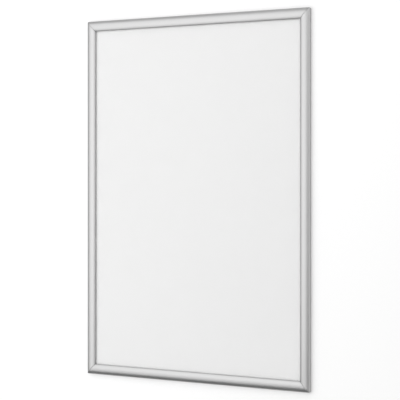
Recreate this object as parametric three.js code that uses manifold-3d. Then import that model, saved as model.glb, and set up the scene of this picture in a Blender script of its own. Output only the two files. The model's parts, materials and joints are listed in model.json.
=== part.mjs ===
// Weatherproof snap frame for one poster, hung on a wall.
// Four mitred base rails carry a back panel. Along the outer edge of each base rail runs a round
// hinge bead, and a domed snap rail turns on it to uncover the poster's edge. Over-centre springs
// between base and snap rail hold each side shut or open, and a rubber strip under the lip of each
// snap rail seals against the clear cover sheet.
//
// Millimetres. +Z is up, +X is to the right seen from the front, the front faces -Y, and the wall is
// the plane Y = 0. The origin is the middle of the frame on the wall.
//
// A rail's section is drawn as (u, z): u runs inwards from the outer edge of the frame, and z runs
// from the wall to the front.
import * as THREE from "three";
import { mergeVertices } from "three/addons/utils/BufferGeometryUtils.js";
import Module from "manifold-3d";

const wasm = await Module();
wasm.setup();

// Poster and sheets
const POSTER_WIDTH = 700;
const POSTER_HEIGHT = 1000;
const POSTER_THICKNESS = 0.2;
const COVER_THICKNESS = 1.0;
const COVER_CORNER = 3;
const PANEL_THICKNESS = 3.0;
const PANEL_BITE = 4; // back panel's edge inside the groove of the base rail
const SHEET_GAP = 0.05; // between sheets that lie on each other

// Snap rail
const FRAME_DEPTH = 15.5; // wall to the crest of the dome
const CREST_FROM_EDGE = 17; // crest of the dome, in from the outer edge
const POSTER_LAP = 7.5; // snap rail over the poster's edge
const SHELL = 1.5; // wall of the dome
const OUTER_POWER = 2.4; // dome from its crest to the outer edge: 2 is an ellipse, more is squarer
const LIP_DROP = 3.5; // front edge of the lip, behind the crest of the dome
const LIP_ROUNDING = 0.8; // front edge of the lip
const CORNER_RADIUS = 5; // outer corners of the closed frame, seen from the front
const OPEN_ANGLE = 100;
const MITRE_GAP = 0.5; // between neighbouring rails
const KNUCKLE_SETBACK = 5; // socket and heel end this far short of the mitre, to swing past the next rail

// Hinge along the outer edge
const BASE_INSET = 1.6; // base rail's outer wall, in from the outer edge
const BEAD_RADIUS = 1.5;
const BEAD_OVERHANG = 0.6; // bead over the outer face of its wall
const HINGE_GAP = 0.2; // bead to socket
const SOCKET_WALL = 1.2;
const WEB_ANGLE = 60; // where the web up to the dome leaves the socket, from the inward direction
const STOP_GAP = 0.25; // open snap rail to the base rail's outer wall
const HEEL_CLEARANCE = 0.6; // heel of the closed snap rail over the floor of the base rail

// Over-centre spring
const STRIP_THICKNESS = 0.4;
const STRIP_BOW = 0.35;
const CURL_RADIUS = 0.7; // rolled ends of the strip
const CURL_GAP = 0.15;
const SEAT_WALL = 0.7; // wall of the two grooves that the rolled ends sit in
const SEAT_REACH = 9.4; // fixed groove, in from the hinge
const SEAT_RISE = 2.0; // fixed groove, in front of the hinge
const SPRING_LENGTH = 30;
const SPRING_FROM_CORNER = 130;
const LONG_RAIL_SPRINGS = 3;
const SHORT_RAIL_SPRINGS = 2;

// Base rail
const FLOOR = 1.2;
const NECK = 1.2; // wall that carries the hinge bead
const UPSTAND = 1.2; // wall that carries the fixed spring groove
const BRACKET_CHANNEL = 7.7; // between the upstand and the inner wall
const CHANNEL_LIP = 0.9;
const INNER_WALL = 1.2;
const INNER_WALL_OVER_STRIP = 0.9; // stop that keeps the sheets from sliding sideways
const POSTER_CLEARANCE = 0.6;
const GROOVE = 3.4; // slot that the back panel's edge sits in
const STRIP_OVER_GROOVE = 1.2;
const STRIP_WIDTH = 5;
const LEDGE_PAST_STRIP = 3; // floor of the base rail behind the back panel
const WALL_HOLE_RADIUS = 2.6;
const WALL_HOLE_FROM_CORNER = 205;

// Corner bracket and its set screws
const BRACKET_THICKNESS = 2.0;
const BRACKET_GAP = 0.25;
const BRACKET_ARM = 62; // end of an arm from the frame's outer corner
const BRACKET_END_CHAMFER = 1.5;
const SCREW_RADIUS = 2.0;
const SCREW_GAP = 0.2;
const SCREW_LENGTH = 3.6;
const SCREW_CHAMFER = 0.4;
const SCREW_FROM_CORNER = 48;
const HEX_RADIUS = 1.15;
const HEX_DEPTH = 1.6;

// Rubber strip under the lip
const GASKET_GAP = 0.2;
const GASKET_FOOT = 0.8;
const GASKET_WIDTH = 5.4;
const GASKET_BEVEL = 0.4; // both edges of the foot
const GASKET_INSET = 0.2; // rubber foot, back from the front face of the lip
const GASKET_NECK = 0.9;
const GASKET_HEAD = 1.8;
const GASKET_HEAD_HEIGHT = 0.8;
const KEEPER_GAP = 0.15; // rubber to the keeper that holds it
const KEEPER_WALL = 0.9;

const FACETS = 8; // half the number of facets on an arc
const BORE_FACETS = 20;

const radians = THREE.MathUtils.degToRad;
const degrees = THREE.MathUtils.radToDeg;

// Heights over the wall
const stripFront = FLOOR + GROOVE + STRIP_OVER_GROOVE;
const posterBack = stripFront + SHEET_GAP;
const coverBack = posterBack + POSTER_THICKNESS + SHEET_GAP;
const coverFront = coverBack + COVER_THICKNESS;
const gasketBack = coverFront + GASKET_GAP;
const lipBack = gasketBack + GASKET_FOOT + KEEPER_GAP; // back edge of the lip and its keeper

// Hinge and spring, worked out from the closed and open positions of the heel
const socketBore = BEAD_RADIUS + HINGE_GAP;
const socketRadius = socketBore + SOCKET_WALL;
const seatBore = CURL_RADIUS + CURL_GAP;
const seatRadius = seatBore + SEAT_WALL;
const heelArm = socketRadius + seatBore;
const seatDistance = Math.hypot(SEAT_REACH, SEAT_RISE);
const seatAngle = degrees(Math.atan2(SEAT_RISE, SEAT_REACH));
const closedAngle = seatAngle - OPEN_ANGLE / 2; // direction of the heel from the hinge, snap rail shut
const halfSwing = degrees(
  Math.atan2(
    heelArm * Math.sin(radians(OPEN_ANGLE / 2)),
    seatDistance - heelArm * Math.cos(radians(OPEN_ANGLE / 2)),
  ),
);
const halfChord = (heelArm * Math.sin(radians(OPEN_ANGLE / 2))) / Math.sin(radians(halfSwing)) / 2;
const bowAngle = 2 * degrees(Math.atan(STRIP_BOW / halfChord)); // bowed strip against its chord, at each end
const stripRoom = degrees(Math.asin((STRIP_THICKNESS / 2 + CURL_GAP) / seatBore));
const fixedSeatMouth = halfSwing + stripRoom; // half the angle left open for the strip
const heelSeatMouth = OPEN_ANGLE / 2 + halfSwing + stripRoom;
const heelStart = closedAngle - bowAngle + heelSeatMouth;
const heelEnd = closedAngle - bowAngle + 360 - heelSeatMouth;
const heelDrop = heelArm * Math.sin(radians(closedAngle)) + seatRadius * Math.sin(radians(heelEnd));
const hinge = new THREE.Vector2(BASE_INSET + BEAD_RADIUS - BEAD_OVERHANG, FLOOR + HEEL_CLEARANCE - heelDrop);
const fixedSeat = hinge.clone().add(new THREE.Vector2(SEAT_REACH, SEAT_RISE));
const heelSeat = polar(hinge, heelArm, closedAngle);

// Places across a rail
const upstandOuter = fixedSeat.x - UPSTAND / 2;
const channelOuter = fixedSeat.x + UPSTAND / 2;
const channelInner = channelOuter + BRACKET_CHANNEL;
const channelMiddle = (channelOuter + channelInner) / 2;
const wallInner = channelInner + INNER_WALL;
const posterEdge = wallInner + POSTER_CLEARANCE;
const faceWidth = posterEdge + POSTER_LAP;
const panelEdge = wallInner + STRIP_WIDTH - PANEL_BITE;
const wallHoleLine = (BASE_INSET + NECK + upstandOuter) / 2;

const outerWidth = POSTER_WIDTH + 2 * posterEdge;
const outerHeight = POSTER_HEIGHT + 2 * posterEdge;

// Crown of the dome: a circle from the crest down to the front edge of the lip
const lipSpan = faceWidth - CREST_FROM_EDGE;
const crownRadius = (lipSpan ** 2 + LIP_DROP ** 2) / (2 * LIP_DROP);
const crown = new THREE.Vector2(CREST_FROM_EDGE, FRAME_DEPTH - crownRadius);
const lipInside = faceWidth - SHELL;

// Sections and outlines

/** The point at a distance and an angle in degrees from a centre. */
function polar(centre, distance, angle) {
  const turned = new THREE.Vector2(Math.cos(radians(angle)), Math.sin(radians(angle)));
  return turned.multiplyScalar(distance).add(centre);
}

function rectangle(u0, z0, u1, z1) {
  return polygon([
    [u0, z0],
    [u1, z0],
    [u1, z1],
    [u0, z1],
  ]);
}

function polygon(points) {
  return new THREE.Shape(points.map(([x, y]) => new THREE.Vector2(x, y)));
}

function disc(centre, radius) {
  return new THREE.Shape().absarc(centre.x, centre.y, radius, 0, 2 * Math.PI);
}

/** Points on an oval between two angles, squarer than an ellipse where the power is over 2. */
function oval(centre, radii, power, from, to) {
  const part = (value) => Math.sign(value) * Math.abs(value) ** (2 / power);
  return Array.from({ length: 2 * FACETS + 1 }, (_, i) => {
    const angle = from + ((to - from) * i) / (2 * FACETS);
    const offset = new THREE.Vector2(radii[0] * part(Math.cos(angle)), radii[1] * part(Math.sin(angle)));
    return offset.add(centre);
  });
}

/** Part of a ring between two angles in degrees, counter-clockwise. */
function ringSector(centre, inner, outer, from, to) {
  const shape = new THREE.Shape();
  shape.absarc(centre.x, centre.y, outer, radians(from), radians(to), false);
  shape.absarc(centre.x, centre.y, inner, radians(to), radians(from), true);
  return shape.closePath();
}

function roundedRectangle(width, height, radius) {
  const x = width / 2 - radius;
  const y = height / 2 - radius;
  const shape = new THREE.Shape();
  shape.absarc(x, y, radius, 0, Math.PI / 2);
  shape.absarc(-x, y, radius, Math.PI / 2, Math.PI);
  shape.absarc(-x, -y, radius, Math.PI, 1.5 * Math.PI);
  shape.absarc(x, -y, radius, 1.5 * Math.PI, 2 * Math.PI);
  return shape.closePath();
}

// Solids

/** A closed geometry as a solid that can be joined and cut. */
function solid(geometry) {
  const bare = geometry.clone();
  bare.deleteAttribute("normal");
  bare.deleteAttribute("uv");
  const merged = mergeVertices(bare);
  return new wasm.Manifold(
    new wasm.Mesh({
      numProp: 3,
      vertProperties: new Float32Array(merged.attributes.position.array),
      triVerts: new Uint32Array(merged.index.array),
    }),
  );
}

function geometryOf(body) {
  const mesh = body.getMesh();
  const geometry = new THREE.BufferGeometry();
  geometry.setAttribute("position", new THREE.BufferAttribute(mesh.vertProperties, 3));
  geometry.setIndex(new THREE.BufferAttribute(mesh.triVerts, 1));
  const faceted = geometry.toNonIndexed();
  faceted.computeVertexNormals();
  return faceted;
}

const joined = (bodies) => bodies.reduce((whole, body) => whole.add(body));

function extrude(shape, depth) {
  return new THREE.ExtrudeGeometry(shape, { depth, bevelEnabled: false, curveSegments: FACETS });
}

// A section (u, z) runs along X with u along +Z and z towards the front.
const ALONG_X = new THREE.Matrix4().makeBasis(
  new THREE.Vector3(0, 0, 1),
  new THREE.Vector3(0, -1, 0),
  new THREE.Vector3(1, 0, 0),
);
// A plan (x, z) is laid on the wall and gets its thickness towards the front.
const OFF_WALL = new THREE.Matrix4().makeBasis(
  new THREE.Vector3(1, 0, 0),
  new THREE.Vector3(0, 0, 1),
  new THREE.Vector3(0, -1, 0),
);

/** A section carried along X between two 45 degree mitres, each set back along the rail. */
function mitredBar(shape, outerLength, setback) {
  const geometry = extrude(shape, 1);
  const position = geometry.attributes.position;
  for (let i = 0; i < position.count; i++) {
    const end = outerLength / 2 - position.getX(i) - setback;
    position.setZ(i, position.getZ(i) > 0.5 ? end : -end);
  }
  return solid(geometry.applyMatrix4(ALONG_X));
}

const mitredBars = (shapes, outerLength, setback) =>
  joined(shapes.map((shape) => mitredBar(shape, outerLength, setback)));

/** A section carried along X for a plain length, its middle at X = middle. */
function squareBar(shape, length, middle) {
  const geometry = extrude(shape, length).translate(0, 0, middle - length / 2);
  return solid(geometry.applyMatrix4(ALONG_X));
}

/** A plan of some thickness, its back at a height over the wall. */
function plate(shape, thickness, back) {
  return extrude(shape, thickness).applyMatrix4(OFF_WALL).translate(0, -back, 0);
}

/** A round pin through the wall plane, for drilling holes. */
function drill(radius, x, z, back, front) {
  const pin = new THREE.CylinderGeometry(radius, radius, front - back, BORE_FACETS);
  return solid(pin.translate(x, -(back + front) / 2, z));
}

// Snap rail

/** Dome of the snap rail with its hinge knuckle and its lip, as one outline. */
function domeSection() {
  const stopDistance = BEAD_RADIUS - BEAD_OVERHANG + STOP_GAP;
  const stopNormal = 180 - OPEN_ANGLE; // the knuckle's end face meets the base rail's wall when open
  const mouthAngle = stopNormal + degrees(Math.acos(stopDistance / socketBore));
  const skirt =
    hinge.y +
    (stopDistance + hinge.x * Math.cos(radians(stopNormal))) / Math.sin(radians(stopNormal));
  const web = polar(hinge, socketRadius, WEB_ANGLE);
  const webShare = (CREST_FROM_EDGE - web.x) / (CREST_FROM_EDGE - SHELL);
  const webOnDome = Math.acos(webShare ** (OUTER_POWER / 2));
  const overSkirt = new THREE.Vector2(CREST_FROM_EDGE, skirt);

  const outerSide = [CREST_FROM_EDGE, FRAME_DEPTH - skirt];
  const innerSide = outerSide.map((radius) => radius - SHELL);
  const middleOfSocket = (socketBore + socketRadius) / 2;
  const shape = new THREE.Shape([
    ...oval(overSkirt, outerSide, OUTER_POWER, Math.PI, Math.PI / 2).slice(0, -1),
    ...lipSide(),
    ...oval(overSkirt, innerSide, OUTER_POWER, Math.PI / 2, Math.PI - webOnDome),
    web,
  ]);
  shape.absarc(hinge.x, hinge.y, middleOfSocket, radians(WEB_ANGLE), radians(mouthAngle), false);
  const mouth = polar(hinge, socketBore, mouthAngle);
  shape.lineTo(mouth.x, mouth.y);
  return { shape: shape.closePath(), mouthAngle };
}

/** Lip side of the dome: from the crest over the lip, round the ledge at its back, and back inside. */
function lipSide() {
  const circle = (radius, from, to) => oval(crown, [radius, radius], 2, from, to);
  const angleAt = (radius, u) => Math.acos((u - CREST_FROM_EDGE) / radius);
  const inner = crownRadius - SHELL;
  const front = circle(crownRadius, Math.PI / 2, angleAt(crownRadius, faceWidth - LIP_ROUNDING));
  const edge = new THREE.Vector2(faceWidth, FRAME_DEPTH - LIP_DROP);
  const below = new THREE.Vector2(faceWidth, edge.y - LIP_ROUNDING);
  const rounding = new THREE.QuadraticBezierCurve(front.at(-1), edge, below).getPoints(FACETS);
  return [
    ...front,
    ...rounding.slice(1),
    new THREE.Vector2(faceWidth, lipBack),
    new THREE.Vector2(gasketMiddle + keeperNeck, lipBack),
    new THREE.Vector2(gasketMiddle + keeperNeck, ledgeFront),
    new THREE.Vector2(lipInside, ledgeFront),
    ...circle(inner, angleAt(inner, lipInside), Math.PI / 2).slice(0, -1),
  ];
}

/** Round socket that turns on the hinge bead, and the heel that the spring pushes on. */
function knuckleSections(mouthAngle) {
  const neckInnerFace = NECK - (BEAD_RADIUS - BEAD_OVERHANG);
  const socketStart = degrees(STOP_GAP / socketBore) - degrees(Math.acos(neckInnerFace / socketBore));
  return [
    ringSector(hinge, socketBore, socketRadius, socketStart, mouthAngle),
    ringSector(heelSeat, seatBore, seatRadius, heelStart, heelEnd),
  ];
}

// Keeper: two ledges that hold the head of the rubber strip, the inner one on the lip itself
const footInner = faceWidth - GASKET_INSET;
const footOuter = footInner - GASKET_WIDTH;
const keeperNeck = GASKET_NECK / 2 + KEEPER_GAP;
const keeperHead = GASKET_HEAD / 2 + KEEPER_GAP;
const ledgeFront = lipBack + KEEPER_WALL;
const headBack = ledgeFront + KEEPER_GAP;
const gasketMiddle = lipInside - keeperHead;

function keeperSections() {
  const outer = gasketMiddle - keeperHead - KEEPER_WALL;
  const insideShell = crown.y + Math.sqrt((crownRadius - SHELL / 2) ** 2 - (outer - CREST_FROM_EDGE) ** 2);
  return [
    rectangle(outer, lipBack, gasketMiddle - keeperNeck, ledgeFront),
    rectangle(outer, lipBack, gasketMiddle - keeperHead, insideShell),
  ];
}

function snapRail(outerLength, acrossLength) {
  const { shape, mouthAngle } = domeSection();
  const dome = mitredBars([shape, ...keeperSections()], outerLength, MITRE_GAP / 2);
  const knuckle = mitredBars(knuckleSections(mouthAngle), outerLength, KNUCKLE_SETBACK);
  const outline = plate(roundedRectangle(outerLength, acrossLength, CORNER_RADIUS), FRAME_DEPTH, 0);
  outline.translate(0, 0, acrossLength / 2);
  return dome.add(knuckle).intersect(solid(outline));
}

/** Rubber strip: a flat foot on the cover sheet, and a barbed head in the keeper. */
function gasket(outerLength) {
  const neck = GASKET_NECK / 2;
  const head = GASKET_HEAD / 2;
  const front = headBack + GASKET_HEAD_HEIGHT;
  const footFront = gasketBack + GASKET_FOOT;
  const overBevel = gasketBack + GASKET_BEVEL;
  const section = polygon([
    [footOuter + GASKET_BEVEL, gasketBack],
    [footInner - GASKET_BEVEL, gasketBack],
    [footInner, overBevel],
    [footInner, footFront],
    [gasketMiddle + neck, footFront],
    [gasketMiddle + neck, headBack],
    [gasketMiddle + head, headBack],
    [gasketMiddle + neck, front],
    [gasketMiddle - neck, front],
    [gasketMiddle - head, headBack],
    [gasketMiddle - neck, headBack],
    [gasketMiddle - neck, footFront],
    [footOuter, footFront],
    [footOuter, overBevel],
  ]);
  return mitredBar(section, outerLength, MITRE_GAP / 2);
}

// Base rail

function baseSections() {
  const bracketFront = FLOOR + 2 * BRACKET_GAP + BRACKET_THICKNESS;
  const slot = SCREW_RADIUS + SCREW_GAP;
  const lipFront = bracketFront + CHANNEL_LIP;
  const mouthMiddle = seatAngle + 180 + bowAngle;
  const ringStart = mouthMiddle + fixedSeatMouth;
  const ringEnd = mouthMiddle - fixedSeatMouth + 360;
  return [
    rectangle(BASE_INSET, 0, wallInner + STRIP_WIDTH + LEDGE_PAST_STRIP, FLOOR),
    rectangle(BASE_INSET, 0, BASE_INSET + NECK, hinge.y),
    disc(hinge, BEAD_RADIUS),
    rectangle(upstandOuter, 0, channelOuter, fixedSeat.y - (seatBore + seatRadius) / 2),
    ringSector(fixedSeat, seatBore, seatRadius, ringStart, ringEnd),
    rectangle(upstandOuter, bracketFront, channelMiddle - slot, lipFront),
    rectangle(channelMiddle + slot, bracketFront, wallInner, lipFront),
    rectangle(channelInner, 0, wallInner, stripFront + INNER_WALL_OVER_STRIP),
    rectangle(channelInner, FLOOR + GROOVE, wallInner + STRIP_WIDTH, stripFront),
  ];
}

function baseRail(outerLength) {
  const rail = mitredBars(baseSections(), outerLength, MITRE_GAP / 2);
  const reach = outerLength / 2 - WALL_HOLE_FROM_CORNER;
  const holes = [-reach, reach].map((x) => drill(WALL_HOLE_RADIUS, x, wallHoleLine, -FLOOR, 2 * FLOOR));
  return holes.reduce((whole, hole) => whole.subtract(hole), rail);
}

// Spring: a bowed strip with two rolled ends, pushed between the fixed groove and the heel

function spring(middle) {
  const bowRadius = halfChord / Math.sin(radians(bowAngle));
  const chordMiddle = fixedSeat.clone().add(heelSeat).divideScalar(2);
  const towardsCentre = seatAngle + halfSwing + 180 - 90;
  const centre = polar(chordMiddle, bowRadius - STRIP_BOW, towardsCentre);
  const outwards = towardsCentre + 180;
  const inner = bowRadius - STRIP_THICKNESS / 2;
  const outer = bowRadius + STRIP_THICKNESS / 2;
  const sections = [
    ringSector(centre, inner, outer, outwards - bowAngle, outwards + bowAngle),
    disc(fixedSeat, CURL_RADIUS),
    disc(heelSeat, CURL_RADIUS),
  ];
  return joined(sections.map((shape) => squareBar(shape, SPRING_LENGTH, middle)));
}

function springPlaces(outerLength, count) {
  const reach = outerLength / 2 - SPRING_FROM_CORNER;
  return Array.from({ length: count }, (_, i) => -reach + (2 * reach * i) / (count - 1));
}

// Corner bracket: a flat angle in the channels of two base rails, jacked tight by set screws

const bracketBack = FLOOR + BRACKET_GAP;

/** The angle in plan, its outer corner towards the frame's corner at (0, 0). */
function cornerBracket() {
  const near = channelOuter + BRACKET_GAP;
  const far = channelInner - BRACKET_GAP;
  const blunt = near + BRACKET_END_CHAMFER;
  const sharp = far - BRACKET_END_CHAMFER;
  const tip = BRACKET_ARM - BRACKET_END_CHAMFER;
  const outline = polygon([
    [blunt, near],
    [tip, near],
    [BRACKET_ARM, blunt],
    [BRACKET_ARM, sharp],
    [tip, far],
    [far, far],
    [far, tip],
    [sharp, BRACKET_ARM],
    [blunt, BRACKET_ARM],
    [near, tip],
    [near, blunt],
  ]);
  const angle = solid(plate(outline, BRACKET_THICKNESS, bracketBack));
  const front = bracketBack + 2 * BRACKET_THICKNESS;
  return screwPlaces().reduce(
    (whole, { x, z }) => whole.subtract(drill(SCREW_RADIUS + SCREW_GAP, x, z, 0, front)),
    angle,
  );
}

const screwPlaces = () => [
  { x: SCREW_FROM_CORNER, z: channelMiddle },
  { x: channelMiddle, z: SCREW_FROM_CORNER },
];

/** Set screw: chamfered ends and a hexagon socket in the front end. */
function setScrew({ x, z }) {
  const end = SCREW_RADIUS - SCREW_CHAMFER;
  const profile = [
    new THREE.Vector2(0, 0),
    new THREE.Vector2(end, 0),
    new THREE.Vector2(SCREW_RADIUS, SCREW_CHAMFER),
    new THREE.Vector2(SCREW_RADIUS, SCREW_LENGTH - SCREW_CHAMFER),
    new THREE.Vector2(end, SCREW_LENGTH),
    new THREE.Vector2(0, SCREW_LENGTH),
  ];
  const shank = solid(new THREE.LatheGeometry(profile, BORE_FACETS));
  const socket = new THREE.CylinderGeometry(HEX_RADIUS, HEX_RADIUS, 2 * HEX_DEPTH, 6);
  const screw = geometryOf(shank.subtract(solid(socket.translate(0, SCREW_LENGTH, 0))));
  return screw.rotateX(Math.PI).translate(x, -bracketBack, z);
}

// Finishes
const finish = (color, roughness, metalness, extra = {}) =>
  new THREE.MeshStandardMaterial({ color, roughness, metalness, ...extra });
const ANODISED = finish(0xc9cacc, 0.38, 1.0);
const MILL_ALUMINIUM = finish(0xb8babd, 0.45, 1.0);
const SPRING_STEEL = finish(0x9a9da3, 0.3, 1.0);
const ZINC_PLATE = finish(0xb4b7bb, 0.4, 1.0);
const RUBBER = finish(0x6d6e70, 0.8, 0.0);
const WHITE_BOARD = finish(0xe6e6e4, 0.7, 0.0);
const PAPER = finish(0xf4f4f4, 0.9, 0.0);
const CLEAR_SHEET = finish(0xf7f9fa, 0.25, 0.0, { transparent: true, opacity: 0.2 });

function named(name, body, material) {
  const geometry = body.isBufferGeometry ? body : geometryOf(body);
  const mesh = new THREE.Mesh(geometry, material);
  mesh.name = name;
  return mesh;
}

// Assembly

/** One side of the frame, built along the bottom and turned to its place about Y. */
function side(name, turn, outerLength, acrossLength, springCount) {
  const group = new THREE.Group();
  group.rotation.y = radians(turn);
  const pieces = [
    named(`base_rail_${name}`, baseRail(outerLength), MILL_ALUMINIUM),
    named(`snap_rail_${name}`, snapRail(outerLength, acrossLength), ANODISED),
    named(`lip_gasket_${name}`, gasket(outerLength), RUBBER),
    ...springPlaces(outerLength, springCount).map((middle, i) =>
      named(`snap_spring_${name}_${i + 1}`, spring(middle), SPRING_STEEL),
    ),
  ];
  for (const piece of pieces) piece.position.z = -acrossLength / 2;
  return group.add(...pieces);
}

/** A corner's bracket and screws, built for the bottom left and turned to its place about Y. */
function corner(name, turn, x, z) {
  const group = new THREE.Group();
  group.position.set((x * outerWidth) / 2, 0, (z * outerHeight) / 2);
  group.rotation.y = radians(turn);
  group.add(named(`corner_bracket_${name}`, cornerBracket(), ZINC_PLATE));
  screwPlaces().forEach((place, i) =>
    group.add(named(`bracket_screw_${name}_${i + 1}`, setScrew(place), ZINC_PLATE)),
  );
  return group;
}

function sheets() {
  const panel = rectangleAbout(outerWidth - 2 * panelEdge, outerHeight - 2 * panelEdge);
  const poster = rectangleAbout(POSTER_WIDTH, POSTER_HEIGHT);
  const cover = roundedRectangle(POSTER_WIDTH, POSTER_HEIGHT, COVER_CORNER);
  const panelBack = FLOOR + (GROOVE - PANEL_THICKNESS) / 2;
  return [
    named("back_panel", plate(panel, PANEL_THICKNESS, panelBack), WHITE_BOARD),
    named("poster_sheet", plate(poster, POSTER_THICKNESS, posterBack), PAPER),
    named("cover_sheet", plate(cover, COVER_THICKNESS, coverBack), CLEAR_SHEET),
  ];
}

const rectangleAbout = (width, height) => rectangle(-width / 2, -height / 2, width / 2, height / 2);

const frame = new THREE.Group();
frame.add(
  side("bottom", 0, outerWidth, outerHeight, SHORT_RAIL_SPRINGS),
  side("right", -90, outerHeight, outerWidth, LONG_RAIL_SPRINGS),
  side("top", 180, outerWidth, outerHeight, SHORT_RAIL_SPRINGS),
  side("left", 90, outerHeight, outerWidth, LONG_RAIL_SPRINGS),
  corner("bottom_left", 0, -1, -1),
  corner("bottom_right", -90, 1, -1),
  corner("top_right", 180, 1, 1),
  corner("top_left", 90, -1, 1),
  ...sheets(),
);

export default frame;
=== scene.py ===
"""Looks of a wall-hung, weatherproof snap frame for one poster.

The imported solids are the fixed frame. The rails, the rubber strips under their lips, the springs and the set
screws are drawn again as smooth surfaces in the places of their solids, and every piece gets its finish.
Lengths are millimetres unless a name or docstring says otherwise, and meshes are in metres. A rail's section
is drawn as (u, z): u runs inwards from the outer edge of the frame, and z from the wall to the front.
"""

import json
import logging
import math
from dataclasses import dataclass
from enum import Enum
from typing import Any, Callable

import bpy
import numpy as np
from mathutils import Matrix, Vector


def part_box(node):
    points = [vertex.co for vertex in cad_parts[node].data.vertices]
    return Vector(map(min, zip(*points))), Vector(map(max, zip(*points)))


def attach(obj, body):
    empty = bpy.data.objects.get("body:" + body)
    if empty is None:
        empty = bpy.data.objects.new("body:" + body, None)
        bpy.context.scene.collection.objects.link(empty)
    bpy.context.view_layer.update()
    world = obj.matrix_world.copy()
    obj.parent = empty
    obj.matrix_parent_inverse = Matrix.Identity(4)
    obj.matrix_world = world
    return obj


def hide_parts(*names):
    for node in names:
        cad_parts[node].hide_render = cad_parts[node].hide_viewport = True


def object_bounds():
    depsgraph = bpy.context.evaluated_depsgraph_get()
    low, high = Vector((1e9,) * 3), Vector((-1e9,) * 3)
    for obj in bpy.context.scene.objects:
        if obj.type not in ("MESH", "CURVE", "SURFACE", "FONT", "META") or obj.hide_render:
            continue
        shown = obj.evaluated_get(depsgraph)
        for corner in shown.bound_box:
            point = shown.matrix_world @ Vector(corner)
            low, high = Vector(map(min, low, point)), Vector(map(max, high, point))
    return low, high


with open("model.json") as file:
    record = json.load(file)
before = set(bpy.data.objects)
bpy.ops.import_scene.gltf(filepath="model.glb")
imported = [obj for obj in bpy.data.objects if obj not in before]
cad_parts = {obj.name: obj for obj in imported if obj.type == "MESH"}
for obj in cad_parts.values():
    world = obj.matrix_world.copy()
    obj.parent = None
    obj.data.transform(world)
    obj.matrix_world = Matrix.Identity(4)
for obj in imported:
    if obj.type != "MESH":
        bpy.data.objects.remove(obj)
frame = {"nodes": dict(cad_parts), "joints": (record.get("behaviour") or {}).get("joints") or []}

CAD_BOX: list[list[float]] = [list(corner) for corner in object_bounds()]
MM: float = 0.001
MOST_OF_EDGE: float = 0.45  # how much of an edge the rounding of one corner may take up
LOG = logging.getLogger("snap_frame")

Points = np.ndarray
Socket = bpy.types.NodeSocket


# Shapes


class Side(Enum):
    """The four sides of the frame, each with its quarter turns about Y from the bottom."""

    BOTTOM = 0
    LEFT = 1
    TOP = 2
    RIGHT = 3

    @property
    def word(self) -> str:
        """Name of the side as the nodes spell it."""
        return self.name.lower()

    @property
    def upright(self) -> bool:
        """Whether the side runs up and down."""
        return self in (Side.LEFT, Side.RIGHT)

    def place(self, points: Points) -> Points:
        """Turn points that were drawn along the bottom to this side.

        Args:
            points: X, Y, Z rows for the bottom rail.

        Returns:
            The same rows turned about Y by this side's quarter turns.
        """
        cos = round(math.cos(self.value * math.pi / 2))
        sin = round(math.sin(self.value * math.pi / 2))
        x, y, z = points.T
        return np.column_stack([x * cos + z * sin, y, z * cos - x * sin])


def polar(centre: tuple[float, float], radius: float, angle: float) -> Points:
    """One row: the point at a radius and an angle in degrees from a centre."""
    return arc(centre, (radius, radius), angle, angle, 1)


def arc(
    centre: tuple[float, float],
    radii: tuple[float, float],
    start: float,
    end: float,
    count: int,
    power: float = 2.0,
) -> Points:
    """Points on an oval: centre plus radii times the angle's cosine and sine, each to the power 2 / n.

    Args:
        centre: Middle of the oval.
        radii: Half widths along the two axes.
        start: First angle in degrees.
        end: Last angle in degrees.
        count: Number of points, both ends included.
        power: The n of the oval, 2 for an ellipse and more for a squarer one.

    Returns:
        Rows of two coordinates.
    """
    angle = np.radians(np.linspace(start, end, count))
    cos, sin = np.cos(angle), np.sin(angle)
    if power != 2.0:
        cos = np.sign(cos) * np.abs(cos) ** (2.0 / power)
        sin = np.sign(sin) * np.abs(sin) ** (2.0 / power)
    return np.column_stack([centre[0] + radii[0] * cos, centre[1] + radii[1] * sin])


def soften(
    outline: Points, radius: float, least_turn: float = 25.0, steps: int = 4, closed: bool = True
) -> Points:
    """Round the sharp corners of an outline.

    A corner that turns by more than the least turn becomes a short quadratic curve between the points one
    radius before and after it, or less where an edge is short. Other points stay.

    Args:
        outline: Closed outline without a repeated end point, or an open path.
        radius: How far from a corner its rounding starts.
        least_turn: Smallest turn in degrees that counts as a corner.
        steps: Points on each rounding.
        closed: Whether the last point runs on into the first. The ends of an open path stay.

    Returns:
        The outline with its corners rounded.
    """
    before = np.roll(outline, 1, axis=0) - outline
    after = np.roll(outline, -1, axis=0) - outline
    room_before = np.linalg.norm(before, axis=1)
    room_after = np.linalg.norm(after, axis=1)
    back = before / room_before[:, None]
    ahead = after / room_after[:, None]
    turn = 180.0 - np.degrees(np.arccos(np.clip((back * ahead).sum(1), -1.0, 1.0)))
    reach = np.minimum(radius, MOST_OF_EDGE * np.minimum(room_before, room_after))[:, None, None]
    t = np.linspace(0.0, 1.0, steps)[None, :, None]
    corner = outline[:, None, :]
    rounded = corner + reach * (back[:, None, :] * (1 - t) ** 2 + ahead[:, None, :] * t**2)
    sharp = turn > least_turn
    sharp[[0, -1]] &= closed
    chosen = np.where(sharp[:, None, None], rounded, corner)
    keep = sharp[:, None] | (np.arange(steps) == 0)[None, :]
    return chosen[keep]


def clockwise(outline: Points) -> Points:
    """The outline in the direction that turns the faces of a carried bar outwards.

    Args:
        outline: Closed outline, either way round.

    Returns:
        The same points in the order that gives a negative area.
    """
    x, y = outline.T
    area = (x * np.roll(y, -1) - np.roll(x, -1) * y).sum()
    return outline if area < 0 else outline[::-1]


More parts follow.
